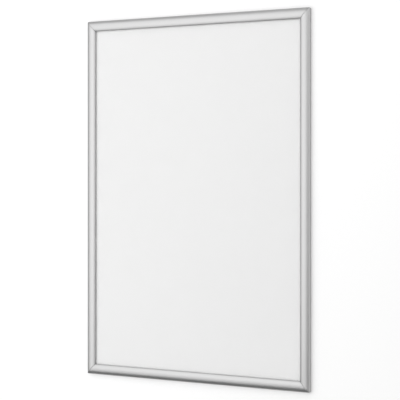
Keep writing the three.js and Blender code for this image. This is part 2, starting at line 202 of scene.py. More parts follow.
def thick_line(path: Points, thickness: float) -> Points:
    """Outline of a strip: the path moved half its thickness to one side, and back along the other.

    Args:
        path: Middle of the strip.
        thickness: Its thickness.

    Returns:
        A closed outline without a repeated end point.
    """
    along = np.gradient(path, axis=0)
    along /= np.linalg.norm(along, axis=1)[:, None]
    aside = np.column_stack([-along[:, 1], along[:, 0]]) * thickness / 2
    return np.vstack([path + aside, (path - aside)[::-1]])


@dataclass
class Surface:
    """Vertices, faces and the texture place of every face corner of one mesh."""

    vertices: Points
    faces: list[list[int]]
    places: Points

    def joined(self, other: "Surface") -> "Surface":
        """This surface and another as one mesh.

        Args:
            other: The surface that is added.

        Returns:
            Both, with the corners of the other one counted on.
        """
        start = len(self.vertices)
        moved = [[start + corner for corner in face] for face in other.faces]
        return Surface(
            np.vstack([self.vertices, other.vertices]),
            self.faces + moved,
            np.vstack([self.places, other.places]),
        )

    def welded(self) -> "Surface":
        """The same mesh with vertices that share a place made one.

        Returns:
            The mesh without doubles, which are found by rounding to a ten-thousandth of a millimetre.
        """
        rounded = np.round(self.vertices, 4)
        _, first, number = np.unique(rounded, axis=0, return_index=True, return_inverse=True)
        cuts = np.cumsum([len(face) for face in self.faces])[:-1]
        corners = np.split(number.ravel()[np.concatenate(self.faces)], cuts)
        return Surface(self.vertices[first], [face.tolist() for face in corners], self.places)


def carried(
    outline: Points,
    rows: Points,
    left_out: Points | None = None,
    capped: tuple[bool, bool] = (True, True),
    levels: Points | None = None,
) -> Surface:
    """A closed profile carried along X through rows of stations.

    Point (u, z) of the profile passes X = rows[k] at station k, at Y = -z and Z = u. The texture place is the
    way along the bar and the way round the profile, both in metres.

    Args:
        outline: Closed profile, clockwise, as rows of u and z.
        rows: Where each profile point is along X, one row for each station.
        left_out: Marks the wall faces that aren't made, stations by profile points.
        capped: Whether the first and the last end get a face.
        levels: The profile at each station, where it isn't the same at all of them.

    Returns:
        The walls of the bar and its end faces.
    """
    stations, count = rows.shape
    level = np.broadcast_to(outline if levels is None else levels, (stations, count, 2))
    vertices = np.stack([rows, -level[..., 1], level[..., 0]], axis=-1).reshape(-1, 3)
    index = np.arange(stations * count).reshape(stations, count)
    ahead = np.roll(index, -1, axis=1)
    walls = np.stack([index[:-1], index[1:], ahead[1:], ahead[:-1]], axis=-1)
    steps = np.linalg.norm(np.roll(outline, -1, axis=0) - outline, axis=1)
    around = np.concatenate([[0.0], np.cumsum(steps)])
    low = np.broadcast_to(around[:-1], (stations - 1, count))
    high = np.broadcast_to(around[1:], (stations - 1, count))
    beyond = np.roll(rows, -1, axis=1)
    places = np.stack(
        [
            np.stack([rows[:-1], low], axis=-1),
            np.stack([rows[1:], low], axis=-1),
            np.stack([beyond[1:], high], axis=-1),
            np.stack([beyond[:-1], high], axis=-1),
        ],
        axis=2,
    )
    keep = np.ones((stations - 1, count), dtype=bool) if left_out is None else ~left_out
    caps = [cap.tolist() for cap, made in zip((index[0], index[-1][::-1]), capped) if made]
    flats = [flat for flat, made in zip((outline, outline[::-1]), capped) if made]
    places = np.vstack([places[keep].reshape(-1, 2), *flats])
    return Surface(vertices, walls[keep].tolist() + caps, places * MM)


def flat_end(outline: Points, across: Points) -> Surface:
    """One face over an outline of u and z, with each point at its own X."""
    vertices = np.column_stack([across, -outline[:, 1], outline[:, 0]])
    return Surface(vertices, [list(range(len(outline)))], outline * MM)


def turned(radius: Points, height: Points, angle: Points) -> Surface:
    """A closed shape turned about an axis along -Y: each point is radius (cos a, sin a) at its height.

    Args:
        radius: Grid of radii, with rows from the foot over the outside and the top, and angles across.
        height: Grid of heights along the axis.
        angle: Angles across the grid, in radians, without the repeated first one.

    Returns:
        The wall as quads, and a flat face in the first and the last row.
    """
    rows, columns = radius.shape
    vertices = np.stack([radius * np.cos(angle), -height, radius * np.sin(angle)], axis=-1).reshape(-1, 3)
    index = np.arange(rows * columns).reshape(rows, columns)
    ahead = np.roll(index, -1, axis=1)
    quads = np.stack([index[:-1], ahead[:-1], ahead[1:], index[1:]], axis=-1).reshape(-1, 4)
    caps = [index[0][::-1].tolist(), index[-1].tolist()]
    corners = np.concatenate([quads.ravel(), index[0][::-1], index[-1]])
    return Surface(vertices, quads.tolist() + caps, vertices[corners][:, [0, 1]] * MM)


def build_object(name: str, surface: Surface, smooth_below: float = 32.0) -> bpy.types.Object:
    """Make a mesh object at the origin from a surface in millimetres.

    Args:
        name: Name of the piece.
        surface: Its vertices, faces and texture places.
        smooth_below: Edges that turn by less than this many degrees look smooth.

    Returns:
        The linked object.
    """
    surface = surface.welded()
    mesh = bpy.data.meshes.new(name)
    mesh.from_pydata((surface.vertices * MM).tolist(), [], surface.faces)
    layer = mesh.uv_layers.new(name="along_and_around")
    layer.data.foreach_set("uv", surface.places.astype(np.float32).ravel())
    mesh.polygons.foreach_set("use_smooth", np.ones(len(mesh.polygons), dtype=bool))
    mesh.set_sharp_from_angle(angle=math.radians(smooth_below))
    mesh.update()
    piece = bpy.data.objects.new(name, mesh)
    bpy.context.scene.collection.objects.link(piece)
    return piece


def put(piece: bpy.types.Object, material: bpy.types.Material, body: str, node: str) -> None:
    """Dress a new piece and set it in the frame.

    Args:
        piece: The new piece.
        material: Its finish.
        body: The body that it moves with.
        node: The solid that it stands for.
    """
    dress(piece, material)
    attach(piece, body)
    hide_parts(node)
    LOG.info("built %s", piece.name)


# Finishes


class Graph:
    """Adds nodes to a node tree and joins them."""

    def __init__(self, tree: bpy.types.NodeTree) -> None:
        """Keep the tree that nodes are added to."""
        self.tree = tree

    def feed(self, node: bpy.types.Node, inputs: dict[Any, Any]) -> None:
        """Give inputs of a node their values, or the sockets that feed them.

        Args:
            node: The node.
            inputs: Input name or number, with a value or another node's output socket.
        """
        for key, value in inputs.items():
            if isinstance(value, Socket):
                self.tree.links.new(value, node.inputs[key])
            else:
                node.inputs[key].default_value = value

    def add(self, kind: str, inputs: dict[Any, Any] | None = None, **settings: Any) -> bpy.types.Node:
        """Add a node, set its options and feed its inputs.

        Args:
            kind: Blender's type name of the node.
            inputs: What its inputs get.
            settings: Options of the node, such as its operation.

        Returns:
            The new node.
        """
        node = self.tree.nodes.new(kind)
        for option, value in settings.items():
            setattr(node, option, value)
        self.feed(node, inputs or {})
        return node

    def calc(self, operation: str, first: Any, second: Any, **settings: Any) -> Socket:
        """The result of one step of arithmetic on two numbers or sockets."""
        return self.add("ShaderNodeMath", {0: first, 1: second}, operation=operation, **settings).outputs[0]

    def around(self, value: Socket, middle: float, spread: float) -> Socket:
        """A value from 0 to 1, spread to both sides of a middle."""
        ends = {"To Min": middle - spread, "To Max": middle + spread}
        return self.add("ShaderNodeMapRange", {"Value": value, **ends}).outputs["Result"]

    def grey(self, shade: Socket) -> Socket:
        """A grey whose shade changes over the surface."""
        parts = dict.fromkeys(("Red", "Green", "Blue"), shade)
        return self.add("ShaderNodeCombineColor", parts).outputs["Color"]

    def bump(self, height: Socket, strength: float, depth_mm: float) -> Socket:
        """Normals that follow a height over a depth in millimetres."""
        inputs = {"Height": height, "Strength": strength, "Distance": depth_mm * MM}
        return self.add("ShaderNodeBump", inputs).outputs["Normal"]


def grey(level: float) -> tuple[float, float, float, float]:
    """An even grey as a colour socket takes it."""
    return level, level, level, 1.0


def new_group(
    name: str,
    inputs: dict[str, tuple[str, Any]],
    outputs: dict[str, str],
    fill: Callable[[Graph, bpy.types.Node, bpy.types.Node], None],
) -> bpy.types.NodeTree:
    """Make a shader node group with named sockets.

    Args:
        name: Name of the group.
        inputs: Socket type and first value of each input.
        outputs: Socket type of each output.
        fill: Puts the nodes between the group's input and output nodes.

    Returns:
        The node group.
    """
    tree = bpy.data.node_groups.new(name, "ShaderNodeTree")
    for socket, (kind, value) in inputs.items():
        made = tree.interface.new_socket(socket, in_out="INPUT", socket_type=kind)
        if value is not None:
            made.default_value = value
    for socket, kind in outputs.items():
        tree.interface.new_socket(socket, in_out="OUTPUT", socket_type=kind)
    graph = Graph(tree)
    fill(graph, graph.add("NodeGroupInput"), graph.add("NodeGroupOutput"))
    return tree


def fill_drawn_lines(graph: Graph, start: bpy.types.Node, end: bpy.types.Node) -> None:
    """Fine lines along a drawn or rolled length, and a slow cloud over it.

    The lines are noise on a place that is stretched along the length, and the cloud is broad noise on the
    unstretched place.

    Args:
        graph: The group's nodes.
        start: Node with the group's inputs.
        end: Node with its outputs.
    """
    place, stretch, scale = (start.outputs[name] for name in ("Place", "Stretch", "Cloud Scale"))
    stretched = graph.add("ShaderNodeVectorMath", {0: place, 1: stretch}, operation="MULTIPLY").outputs[0]
    lines = graph.add("ShaderNodeTexNoise", {"Vector": stretched, "Scale": 1.0, "Detail": 3.0})
    cloud = graph.add("ShaderNodeTexNoise", {"Vector": place, "Scale": scale, "Detail": 2.0})
    graph.feed(end, {"Lines": lines.outputs["Fac"], "Cloud": cloud.outputs["Fac"]})


def fill_speckle(graph: Graph, start: bpy.types.Node, end: bpy.types.Node) -> None:
    """Small grains: the distance to scattered points, turned into a mask, and a fine noise under it.

    Args:
        graph: The group's nodes.
        start: Node with the group's inputs.
        end: Node with its outputs.
    """
    scattered = {"Vector": start.outputs["Place"], "Scale": start.outputs["Scale"]}
    distance = graph.add("ShaderNodeTexVoronoi", scattered).outputs["Distance"]
    fall = {"From Min": 0.1, "From Max": 0.6, "To Min": 1.0, "To Max": 0.0}
    grains = graph.add("ShaderNodeMapRange", {"Value": distance, **fall})
    noise = graph.add("ShaderNodeTexNoise", {**scattered, "Detail": 4.0})
    graph.feed(end, {"Grains": grains.outputs["Result"], "Noise": noise.outputs["Fac"]})


class Place(Enum):
    """Which coordinates a finish follows."""

    RAIL = "UV"
    ROOM = "Object"


@dataclass(frozen=True)
class SharedGroups:
    """Node groups that several finishes use."""

    drawn_lines: bpy.types.NodeTree
    speckle: bpy.types.NodeTree

    @classmethod
    def build(cls) -> "SharedGroups":
        """Make the groups once.

        Returns:
            Both groups.
        """
        lines = new_group(
            "drawn_lines",
            {
                "Place": ("NodeSocketVector", None),
                "Stretch": ("NodeSocketVector", (1.0, 1.0, 1.0)),
                "Cloud Scale": ("NodeSocketFloat", 6.0),
            },
            {"Lines": "NodeSocketFloat", "Cloud": "NodeSocketFloat"},
            fill_drawn_lines,
        )
        speckle = new_group(
            "speckle",
            {"Place": ("NodeSocketVector", None), "Scale": ("NodeSocketFloat", 800.0)},
            {"Grains": "NodeSocketFloat", "Noise": "NodeSocketFloat"},
            fill_speckle,
        )
        return cls(lines, speckle)

    def grained(self, graph: Graph, scale: float) -> tuple[Socket, Socket]:
        """Place the speckle in a material.

        Args:
            graph: The material's nodes.
            scale: How many grains there are to a metre.

        Returns:
            The grains and the fine noise under them.
        """
        place = graph.add("ShaderNodeTexCoord").outputs[Place.ROOM.value]
        node = graph.add("ShaderNodeGroup", {"Place": place, "Scale": scale}, node_tree=self.speckle)
        return node.outputs["Grains"], node.outputs["Noise"]


def new_material(name: str) -> tuple[bpy.types.Material, Graph, bpy.types.Node]:
    """Make a material with its shader.

    Args:
        name: Name of the material.

    Returns:
        The material, a graph on its nodes, and its Principled BSDF.
    """
    material = bpy.data.materials.new(name)
    material.use_nodes = True
    return material, Graph(material.node_tree), material.node_tree.nodes["Principled BSDF"]


@dataclass(frozen=True)
class DrawnMetal:
    """Extruded, drawn or rolled metal with fine lines along its length.

    The grazing tint is the share of light that it still gives back when it is seen nearly edge-on.
    """

    name: str
    shade: float
    roughness: float
    stretch: tuple[float, float, float]
    place: Place
    line_depth_mm: float = 0.004
    roughness_spread: float = 0.06
    shade_spread: float = 0.02
    cloud_scale: float = 9.0
    line_strength: float = 0.25
    grazing_tint: float = 1.0

    def material(self, groups: SharedGroups) -> bpy.types.Material:
        """Make the material.

        Args:
            groups: The shared node groups.

        Returns:
            Metal whose roughness, shade and height follow the drawn lines.
        """
        material, graph, shader = new_material(self.name)
        place = graph.add("ShaderNodeTexCoord").outputs[self.place.value]
        inputs = {"Place": place, "Stretch": self.stretch, "Cloud Scale": self.cloud_scale}
        drawn = graph.add("ShaderNodeGroup", inputs, node_tree=groups.drawn_lines)
        lines, cloud = drawn.outputs["Lines"], drawn.outputs["Cloud"]
        mean = graph.calc("MULTIPLY", graph.calc("ADD", lines, cloud), 0.5)
        looks = {
            "Metallic": 1.0,
            "Specular Tint": grey(self.grazing_tint),
            "Base Color": graph.grey(graph.around(cloud, self.shade, self.shade_spread)),
            "Roughness": graph.around(mean, self.roughness, self.roughness_spread),
            "Normal": graph.bump(lines, self.line_strength, self.line_depth_mm),
        }
        graph.feed(shader, looks)
        return material


@dataclass(frozen=True)
class GrainedSheet:
    """Board, paper or rubber: a dull surface with small grains."""

    name: str
    shade: float
    roughness: float
    grain_scale: float
    grain_depth_mm: float
    shade_spread: float = 0.015
    roughness_spread: float = 0.08
    grain_strength: float = 0.3
    specular: float = 0.5

    def material(self, groups: SharedGroups) -> bpy.types.Material:
        """Make the material.

        Args:
            groups: The shared node groups.

        Returns:
            A dull material whose shade, roughness and height follow the grains.
        """
        material, graph, shader = new_material(self.name)
        grains, noise = groups.grained(graph, self.grain_scale)
        looks = {
            "Specular IOR Level": self.specular,
            "Base Color": graph.grey(graph.around(noise, self.shade, self.shade_spread)),
            "Roughness": graph.around(noise, self.roughness, self.roughness_spread),
            "Normal": graph.bump(grains, self.grain_strength, self.grain_depth_mm),
        }
        graph.feed(shader, looks)
        return material


@dataclass(frozen=True)
class ClearCover:
    """Clear sheet with a fine anti-glare face."""

    name: str = "clear_anti_glare_sheet"
    shade: float = 0.92
    haze: float = 0.22
    haze_spread: float = 0.04
    roughness: float = 0.3
    roughness_spread: float = 0.08
    refraction: float = 1.49
    grain_scale: float = 2500.0

    def material(self, groups: SharedGroups) -> bpy.types.Material:
        """Make the material.

        Args:
            groups: The shared node groups.

        Returns:
            A see-through sheet with a slight haze and a finely grained gloss.
        """
        material, graph, shader = new_material(self.name)
        grains, noise = groups.grained(graph, self.grain_scale)
        looks = {
            "Base Color": grey(self.shade),
            "IOR": self.refraction,
            "Roughness": graph.around(noise, self.roughness, self.roughness_spread),
            "Alpha": graph.around(grains, self.haze, self.haze_spread),
        }
        graph.feed(shader, looks)
        return material


class Finishes:
    """Every finish on the frame, made once."""

    def __init__(self) -> None:
        """Make the shared groups and the materials."""
        groups = SharedGroups.build()
        along_rail = {"stretch": (5.0, 2600.0, 1.0), "place": Place.RAIL}
        self.anodised = DrawnMetal(
            "satin_anodised_aluminium", shade=0.56, roughness=0.42, grazing_tint=0.2, **along_rail
        ).material(groups)
        self.mill = DrawnMetal(
            "mill_aluminium", shade=0.5, roughness=0.4, line_depth_mm=0.01, grazing_tint=0.2, **along_rail
        ).material(groups)
        self.spring_steel = DrawnMetal(
            "bright_spring_steel", shade=0.56, roughness=0.26, cloud_scale=60.0, **along_rail
        ).material(groups)
        self.zinc = DrawnMetal(
            "zinc_plated_steel",
            shade=0.62,
            roughness=0.38,
            stretch=(220.0, 220.0, 220.0),
            place=Place.ROOM,
            line_depth_mm=0.02,
            roughness_spread=0.12,
            shade_spread=0.07,
            cloud_scale=140.0,
        ).material(groups)
        self.rubber = GrainedSheet(
            "grey_sealing_rubber", shade=0.14, roughness=0.7, grain_scale=1600.0, grain_depth_mm=0.02
        ).material(groups)
        self.board = GrainedSheet(
            "white_back_board", shade=0.78, roughness=0.55, grain_scale=900.0, grain_depth_mm=0.03
        ).material(groups)
        self.paper = GrainedSheet(
            "blank_poster_paper",
            shade=0.9,
            roughness=0.85,
            grain_scale=1400.0,
            grain_depth_mm=0.01,
            shade_spread=0.006,
            specular=0.3,
        ).material(groups)
        self.cover = ClearCover().material(groups)


def dress(piece: bpy.types.Object, material: bpy.types.Material) -> None:
    """Give a piece one finish all over."""
    piece.data.materials.clear()
    piece.data.materials.append(material)


# Sub-assemblies


def joint_place(name: str) -> tuple[float, float, float]:
    """Point on a joint's axis in millimetres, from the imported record.

    Args:
        name: Name of the joint.

    Returns:
        X, Y and Z of the point.
    """
    found = next(joint for joint in frame["joints"] if joint["name"] == name)
    x, y, z = (value / MM for value in found["pos_m"])
    return x, y, z


@dataclass(frozen=True)
class Outside:
    """Outer sizes of the closed frame."""

    width: float
    height: float

    @classmethod
    def measured(cls) -> "Outside":
        """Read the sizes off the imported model's box."""
        low, high = CAD_BOX
        return cls((high[0] - low[0]) / MM, (high[2] - low[2]) / MM)

    def length(self, side: Side) -> float:
        """Outer length of a side."""
        return self.height if side.upright else self.width

    def across(self, side: Side) -> float:
        """Distance from a side's outer edge to the opposite one."""
        return self.width if side.upright else self.height


@dataclass(frozen=True)
class Run:
    """The place of one side's bars, between the frame's corners."""

    side: Side
    outside: Outside
    mitre_gap: float = 0.5

    @property
    def half(self) -> float:
        """Half the outer length of the side."""
        return self.outside.length(self.side) / 2

    def mitred(self, u: Points, setback: float | None = None) -> Points:
        """Where profile points end on the positive side: at the 45 degree mitre, less a setback.

        Args:
            u: Distance of the points from the outer edge.
            setback: Distance kept from the mitre, half the mitre gap where none is given.

        Returns:
            X of each end.
        """
        return self.half - u - (self.mitre_gap / 2 if setback is None else setback)

    def settled(self, surface: Surface) -> Surface:
        """Move a bar that was drawn from u = 0 out to this side of the frame.

        Args:
            surface: The bar, drawn along the bottom.

        Returns:
            The same surface in its place.
        """
        surface.vertices[:, 2] -= self.outside.across(self.side) / 2
        surface.vertices = self.side.place(surface.vertices)
        return surface

    def bar(self, outline: Points, ends: Points) -> Surface:
        """Carry a profile along this side, between minus and plus its ends."""
        return self.settled(carried(outline, np.stack([-ends, ends])))


@dataclass(frozen=True)
class Hinge:
    """Bead and socket along the outer edge, and the over-centre springs' two seats."""

    u: float
    z: float
    bead: float = 1.5
    bore: float = 1.7
    socket: float = 2.9
    stop_distance: float = 1.15
    open_angle: float = 100.0
    heel_arm: float = 3.75
    seat_reach: float = 9.4
    seat_rise: float = 2.0
    seat_bore: float = 0.85
    seat_radius: float = 1.55
    bow_angle: float = 10.32
    strip_room: float = 24.32

    @classmethod
    def measured(cls, outside: Outside) -> "Hinge":
        """Read the hinge line off the bottom rail's joint."""
        _, y, z = joint_place("snap_rail_bottom_flip")
        return cls(z + outside.height / 2, -y)

    @property
    def place(self) -> tuple[float, float]:
        """Middle of the hinge bead."""
        return self.u, self.z

    @property
    def seat(self) -> tuple[float, float]:
        """Middle of the springs' groove in the base rail."""
        return self.u + self.seat_reach, self.z + self.seat_rise

    @property
    def seat_angle(self) -> float:
        """Direction from the hinge to the groove in the base rail."""
        return math.degrees(math.atan2(self.seat_rise, self.seat_reach))

    @property
    def heel_angle(self) -> float:
        """Direction from the hinge to the heel with the rail shut, half the opening before the groove's."""
        return self.seat_angle - self.open_angle / 2

    @property
    def heel(self) -> tuple[float, float]:
        """Middle of the springs' seat in the heel of the shut snap rail."""
        u, z = polar(self.place, self.heel_arm, self.heel_angle)[0]
        return float(u), float(z)

    @property
    def half_swing(self) -> float:
        """How far the springs swing to each side of the line through hinge and groove.

        Returns:
            Degrees, from the triangle of hinge, groove and heel.
        """
        half = math.radians(self.open_angle / 2)
        reach = math.hypot(self.seat_reach, self.seat_rise)
        aside = self.heel_arm * math.sin(half)
        return math.degrees(math.atan2(aside, reach - self.heel_arm * math.cos(half)))

    @property
    def mouth_angle(self) -> float:
        """Direction from the hinge in which the socket opens to the outside."""
        return 180.0 - self.open_angle + math.degrees(math.acos(self.stop_distance / self.bore))

    @property
    def skirt(self) -> float:
        """Height over the wall of the dome's outer lower edge."""
        normal = math.radians(180.0 - self.open_angle)
        return self.z + (self.stop_distance + self.u * math.cos(normal)) / math.sin(normal)

    @property
    def heel_gap(self) -> tuple[float, float]:
        """Ends of the seat in the heel, round the mouth that the strip swings in.

        Returns:
            First and last angle in degrees.
        """
        mouth = self.open_angle / 2 + self.half_swing + self.strip_room
        start = self.heel_angle - self.bow_angle
        return start + mouth, start + 360.0 - mouth

    @property
    def seat_gap(self) -> tuple[float, float]:
        """Ends of the groove in the base rail, round its mouth.

        Returns:
            First and last angle in degrees.
        """
        middle = self.seat_angle + 180.0 + self.bow_angle
        mouth = self.half_swing + self.strip_room
        return middle + mouth, middle + 360.0 - mouth


@dataclass(frozen=True)
class SnapRail:
    """One domed front rail, hinged along its outer edge."""

    run: Run
    hinge: Hinge
    face: float
    depth: float
    crest: float = 17.0
    shell: float = 1.5
    lip_drop: float = 3.5
    lip_rounding: float = 0.8
    outer_power: float = 2.4
    web_angle: float = 60.0
    socket_start: float = -71.4
    knuckle_setback: float = 5.0
    corner_radius: float = 5.0
    eased: float = 0.5
    lip_back: float = 8.25
    keeper_wall: float = 0.9
    keeper_neck: float = 0.6
    keeper_head: float = 1.05
    softening: float = 0.2
    knuckle_softening: float = 0.12
    rounding_room: float = 3.0
    rounding_points: int = 8
    arc_points: int = 44
    slot_points: int = 6
    root_points: int = 16
    knuckle_points: tuple[int, ...] = (24, 14, 28, 10, 6, 44)
    lip_margin: float = 0.05

    @property
    def crown_radius(self) -> float:
        """Radius of the circle from the crest to the lip's front edge: (span^2 + drop^2) / (2 drop)."""
        return ((self.face - self.crest) ** 2 + self.lip_drop**2) / (2 * self.lip_drop)

    @property
    def lip_inside(self) -> float:
        """Inner face of the upright lip."""
        return self.face - self.shell

    @property
    def keeper_middle(self) -> float:
        """Middle of the slot that holds the rubber strip, beside the lip's inner face."""
        return self.lip_inside - self.keeper_head

    def crown(self, start: float, end: float, depth: float, count: int) -> Points:
        """Points on the crown's circle, or on one inside it, between two places across the rail.

        Args:
            start: Place of the first point, inwards from the frame's outer edge.
            end: Place of the last point.
            depth: How far inside the crown.
            count: Number of points.

        Returns:
            Rows of u and z.
        """
        radius = self.crown_radius - depth
        angles = [math.degrees(math.acos((u - self.crest) / radius)) for u in (start, end)]
        return arc((self.crest, self.depth - self.crown_radius), (radius, radius), *angles, count)

    def lip(self) -> Points:
        """Path from the crest over the crown, round the front edge of the lip and down to its back edge.

        Returns:
            An open path.
        """
        crown_end = self.face - self.rounding_room * self.lip_rounding
        crown = self.crown(self.crest, crown_end, 0.0, self.arc_points)
        edge = [[self.face, self.depth - self.lip_drop], [self.face, self.lip_back]]
        path = np.vstack([crown, edge])
        return soften(path, self.lip_rounding, steps=self.rounding_points, closed=False)

    def under_lip(self) -> Points:
        """Path from the lip's back edge round both keeper ledges and their slot to the crest.

        Returns:
            An open path.
        """
        middle, head, neck = self.keeper_middle, self.keeper_head, self.keeper_neck
        ledge = self.lip_back + self.keeper_wall
        outer = middle - head - self.keeper_wall
        return np.vstack(
            [
                [[middle + neck, self.lip_back], [middle + neck, ledge], [middle + head, ledge]],
                self.crown(self.lip_inside, middle - head, self.shell, self.slot_points),
                [[middle - head, ledge], [middle - neck, ledge]],
                [[middle - neck, self.lip_back], [outer, self.lip_back]],
                self.crown(outer, self.crest, self.shell, self.arc_points),
            ]
        )

    def dome(self) -> Points:
        """Path from the socket's mouth over the dome and its lip, and back under it to the web.

        The outer side is a quarter oval up to the crest, and the inside follows it at the shell's thickness.

        Returns:
            An open path with softened corners.
        """
        count, hinge = self.arc_points, self.hinge
        over_skirt = (self.crest, hinge.skirt)
        outer_radii = (self.crest, self.depth - hinge.skirt)
        inner_radii = (outer_radii[0] - self.shell, outer_radii[1] - self.shell)
        web = polar(hinge.place, hinge.socket, self.web_angle)
        share = (self.crest - web[0, 0]) / inner_radii[0]
        fall = math.degrees(math.acos(share ** (self.outer_power / 2.0)))
        path = np.vstack(
            [
                polar(hinge.place, hinge.bore, hinge.mouth_angle),
                arc(over_skirt, outer_radii, 180, 90, count, self.outer_power)[:-1],
                self.lip(),
                self.under_lip()[:-1],
                arc(over_skirt, inner_radii, 90, 180 - fall, count, self.outer_power),
                web,
            ]
        )
        return soften(path, self.softening, closed=False)

    def plain_root(self) -> Points:
        """Path from the web back to the mouth where the rail has no socket, near its ends.

        Returns:
            An arc half-way between the socket's bore and its outside.
        """
        hinge = self.hinge
        core = (hinge.bore + hinge.socket) / 2
        return arc(hinge.place, (core, core), self.web_angle, hinge.mouth_angle, self.root_points)

    def knuckle(self) -> Points:
        """Path from the web to the mouth round the socket, and round the heel that the springs push on.

        The outer circles of socket and heel cross where the sides of a triangle over their centres meet, by
        the cosine rule.

        Returns:
            An open path without its two end points.
        """
        hinge = self.hinge
        arm, big, small, bore = hinge.heel_arm, hinge.socket, hinge.seat_radius, hinge.seat_bore
        at_socket = math.degrees(math.acos((big**2 + arm**2 - small**2) / (2 * arm * big)))
        at_heel = math.degrees(math.acos((small**2 + arm**2 - big**2) / (2 * arm * small)))
        there, back = hinge.heel_angle, hinge.heel_angle + 180.0
        start, end = hinge.heel_gap
        socket, heel = (hinge.place, (big, big)), (hinge.heel, (small, small))
        stretches = [
            (*socket, self.web_angle, there + at_socket),
            (*heel, back - at_heel, start),
            (hinge.heel, (bore, bore), start, end),
            (*heel, end, back + at_heel),
            (*socket, there - at_socket, self.socket_start),
            (hinge.place, (hinge.bore, hinge.bore), self.socket_start, hinge.mouth_angle),
        ]
        arcs = [arc(*stretch, count) for stretch, count in zip(stretches, self.knuckle_points)]
        # Where the outer circles cross, one point is enough.
        path = np.vstack([arcs[0], arcs[1][1:], arcs[2], arcs[3], arcs[4][1:], arcs[5]])
        return soften(path, self.knuckle_softening, closed=False)[1:-1]

    def dome_ends(self, u: Points) -> Points:
        """Where the dome's points end: at the mitre, or at the frame's rounded corner where that comes first.

        A point at u under the radius R ends R - sqrt(R^2 - (R - u)^2) short of the frame's corner.

        Args:
            u: Distance of the points from the outer edge.

        Returns:
            X of each end.
        """
        radius = self.corner_radius
        inside = np.clip(radius - u, 0.0, radius)
        corner = np.where(u < radius, radius - np.sqrt(radius**2 - inside**2), 0.0)
        return np.minimum(self.run.mitred(u), self.run.half - corner)

    def filed(self, outline: Points) -> Points:
        """The profile at the sawn end, where the edge of the visible side is filed off.

        The points from the outer edge to the back of the lip move in along the normal of their neighbours.

        Args:
            outline: Closed profile that starts at the outer edge, clockwise.

        Returns:
            The profile of the end face.
        """
        along = np.roll(outline, -1, axis=0) - np.roll(outline, 1, axis=0)
        along /= np.linalg.norm(along, axis=1)[:, None]
        inwards = np.column_stack([along[:, 1], -along[:, 0]])
        at_lip = np.flatnonzero(outline[:, 0] > self.face - self.lip_margin)
        seen = np.arange(len(outline)) <= at_lip[-1]
        # The socket's mouth and the first point of the dome stay.
        seen[:2] = False
        return outline + inwards * np.where(seen, self.eased, 0.0)[:, None]

    def build(self, finishes: Finishes) -> None:
        """Make the rail, with its finish, on its body.

        Args:
            finishes: The frame's finishes.
        """
        dome, root, knuckle = self.dome(), self.plain_root(), self.knuckle()
        plain, full = np.vstack([dome, root]), np.vstack([dome, knuckle])
        filed = self.filed(plain)
        inner = self.run.mitred(plain[:, 0], self.knuckle_setback)
        short = self.dome_ends(plain[:, 0]) - self.eased
        end = self.dome_ends(filed[:, 0])
        middle = self.run.mitred(full[:, 0], self.knuckle_setback)
        surface = carried(full, np.stack([-middle, middle]), capped=(False, False))
        levels = np.stack([plain, plain, filed])
        far = carried(plain, np.stack([inner, short, end]), capped=(False, True), levels=levels)
        near = carried(plain, np.stack([-end, -short, -inner]), capped=(True, False), levels=levels[::-1])
        surface = surface.joined(near).joined(far)
        face = np.vstack([dome[-1:], knuckle, dome[:1], root[::-1]])
        ends = self.run.mitred(face[:, 0], self.knuckle_setback)
        surface = surface.joined(flat_end(face, -ends)).joined(flat_end(face[::-1], ends[::-1]))
        surface = self.run.settled(surface)
        word = self.run.side.word
        rail = build_object(f"domed_snap_rail_{word}", surface)
        put(rail, finishes.anodised, f"snap_rail_{word}", f"snap_rail_{word}")


@dataclass(frozen=True)
class LipStrip:
    """Rubber strip under the lip of one snap rail, held by its barbed head."""

    rail: SnapRail
    back: float = 7.3
    foot: float = 0.8
    width: float = 5.4
    bevel: float = 0.4
    inset: float = 0.2
    neck: float = 0.45
    head: float = 0.9
    head_height: float = 0.8
    keeper_gap: float = 0.15
    rounding: float = 0.25
    rounding_points: int = 5

    def outline(self) -> Points:
        """Section of the strip: foot with bevelled edges, neck and barbed head.

        Returns:
            A closed outline with rounded corners, clockwise.
        """
        middle = self.rail.keeper_middle
        inner = self.rail.face - self.inset
        outer = inner - self.width
        front = self.back + self.foot
        barb = self.rail.lip_back + self.rail.keeper_wall + self.keeper_gap
        top = barb + self.head_height
        corners = np.array(
            [
                [outer + self.bevel, self.back],
                [inner - self.bevel, self.back],
                [inner, self.back + self.bevel],
                [inner, front],
                [middle + self.neck, front],
                [middle + self.neck, barb],
                [middle + self.head, barb],
                [middle + self.neck, top],
                [middle - self.neck, top],
                [middle - self.head, barb],
                [middle - self.neck, barb],
                [middle - self.neck, front],
                [outer, front],
                [outer, self.back + self.bevel],
            ]
        )
        return clockwise(soften(corners, self.rounding, steps=self.rounding_points))

    def build(self, finishes: Finishes) -> None:
        """Make the strip, with its finish, on the snap rail's body.

        Args:
            finishes: The frame's finishes.
        """
        outline = self.outline()
        run = self.rail.run
        word = run.side.word
        strip = build_object(f"rubber_lip_strip_{word}", run.bar(outline, run.mitred(outline[:, 0])))
        put(strip, finishes.rubber, f"snap_rail_{word}", f"lip_gasket_{word}")


